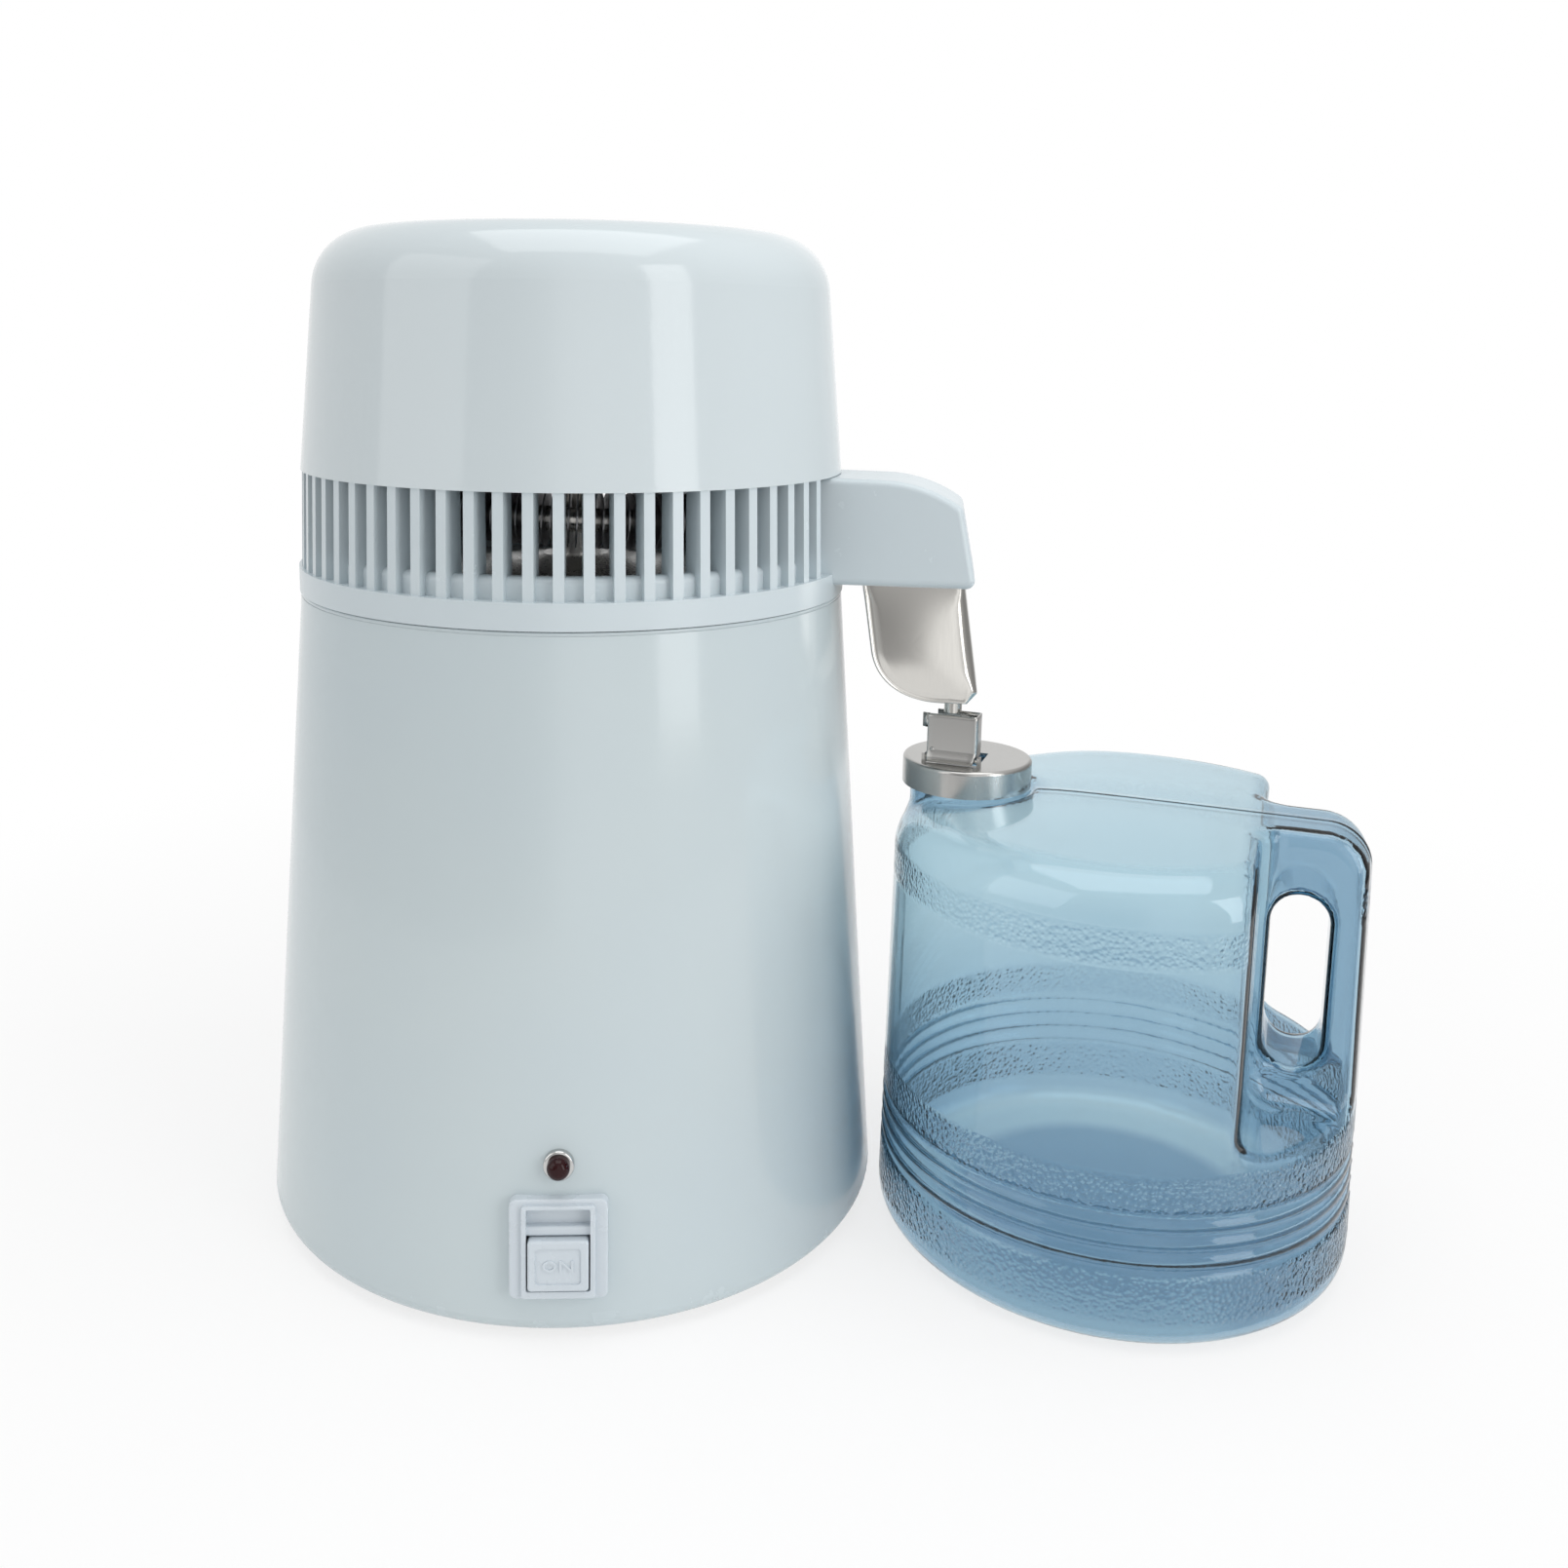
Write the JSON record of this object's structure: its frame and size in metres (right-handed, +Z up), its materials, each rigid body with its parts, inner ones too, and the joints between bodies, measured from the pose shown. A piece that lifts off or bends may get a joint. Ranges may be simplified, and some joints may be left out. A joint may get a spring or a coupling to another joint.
{
  "type": "countertop water distiller",
  "caption": "Tapered countertop water distiller with a lift-off vented condenser head, side spout with filter cup, push switch and lamp, and a translucent jug with a steel cap under the spout.",
  "frame": {"origin": "middle of the distiller's foot circle, on the table under its rubber feet", "axes": "+Z up along the distiller's axis, -Y the front with the switch, +X the side where the spout and jug are"},
  "size_m": [0.397, 0.243, 0.356],
  "materials": {
    "casing_paint": "gloss paint",
    "foot_plastic": "gloss",
    "base_steel": "bright",
    "zinc_screw": "zinc plated",
    "foot_rubber": "matt",
    "tank_steel": "drawn and polished",
    "cast_aluminium": "as cast",
    "element_steel": "heat darkened",
    "cream_plastic": "matt",
    "switch_plastic": "satin",
    "black_plastic": "matt",
    "lamp_chrome": "polished",
    "lamp_red": "clear red, unlit",
    "pin_brass": "plain",
    "head_plastic": "gloss",
    "vent_plastic": "gloss",
    "cup_steel": "polished",
    "sachet_fabric": "non-woven",
    "coil_steel": "bright",
    "fin_aluminium": "mill finish",
    "silicone": "matt",
    "motor_steel": "bright",
    "fan_plastic": "matt",
    "jug_plastic": "clear blue tint",
    "cap_steel": "polished"
  },
  "bodies": {
    "base": {"outer_casing": "casing_paint", "base_ring": "foot_plastic", "base_plate": "base_steel", "base_screws": "zinc_screw", "rubber_feet": "foot_rubber", "boiling_tank": "tank_steel", "heater_plate": "cast_aluminium", "heating_element": "element_steel", "clamp_plate": "base_steel", "centre_stud": "zinc_screw", "terminal_block": "cream_plastic", "thermostat": "cream_plastic", "thermal_cutout": "cream_plastic", "switch_bezel": "switch_plastic", "switch_body": "black_plastic", "lamp_bezel": "lamp_chrome", "lamp_lens": "lamp_red", "lamp_holder": "black_plastic", "power_inlet": "black_plastic", "inlet_pins": "pin_brass", "fan_outlet": "black_plastic"},
    "head": {"head_cover": "head_plastic", "vent_ring": "vent_plastic", "spout_arm": "vent_plastic", "filter_cup": "cup_steel", "charcoal_sachet": "sachet_fabric", "drip_tube": "cup_steel", "condenser_coil": "coil_steel", "condenser_fins": "fin_aluminium", "coil_nut": "zinc_screw", "steam_lid": "tank_steel", "lid_gasket": "silicone", "fan_motor": "motor_steel", "motor_bracket": "base_steel", "head_screws": "zinc_screw", "fan_inlet": "black_plastic"},
    "fan": {"fan_impeller": "fan_plastic", "fan_shaft": "zinc_screw"},
    "button": {"on_button": "switch_plastic"},
    "jug": {"jug_body": "jug_plastic"},
    "cap": {"jug_cap": "cap_steel", "cap_seal": "silicone", "guide_pin": "cup_steel"},
    "guide": {"drip_guide": "cap_steel"}
  },
  "joints": [
    {"name": "head_lift", "type": "slide", "parent": "base", "child": "head", "axis": [0, 0, 1], "range_m": [0, 0.16]},
    {"name": "fan_spin", "type": "hinge", "parent": "head", "child": "fan", "pos_m": [0, 0, 0.318], "axis": [0, 0, 1], "continuous": true},
    {"name": "on_button_press", "type": "slide", "parent": "base", "child": "button", "axis": [0, 0.9974, -0.0726], "range_m": [0, 0.0025], "stiffness_N_per_m": 400},
    {"name": "jug_slide", "type": "slide", "parent": "base", "child": "jug", "axis": [0.9135, -0.4067, 0], "range_m": [0, 0.15]},
    {"name": "jug_cap_turn", "type": "hinge", "parent": "jug", "child": "cap", "pos_m": [0.14551, -0.01935, 0.165], "axis": [0, 0, 1], "range_deg": [0, 270]},
    {"name": "drip_guide_fold", "type": "hinge", "parent": "cap", "child": "guide", "pos_m": [0.13717, -0.03096, 0.1704], "axis": [-0.9135, 0.4067, 0], "range_deg": [0, 86]}
  ]
}
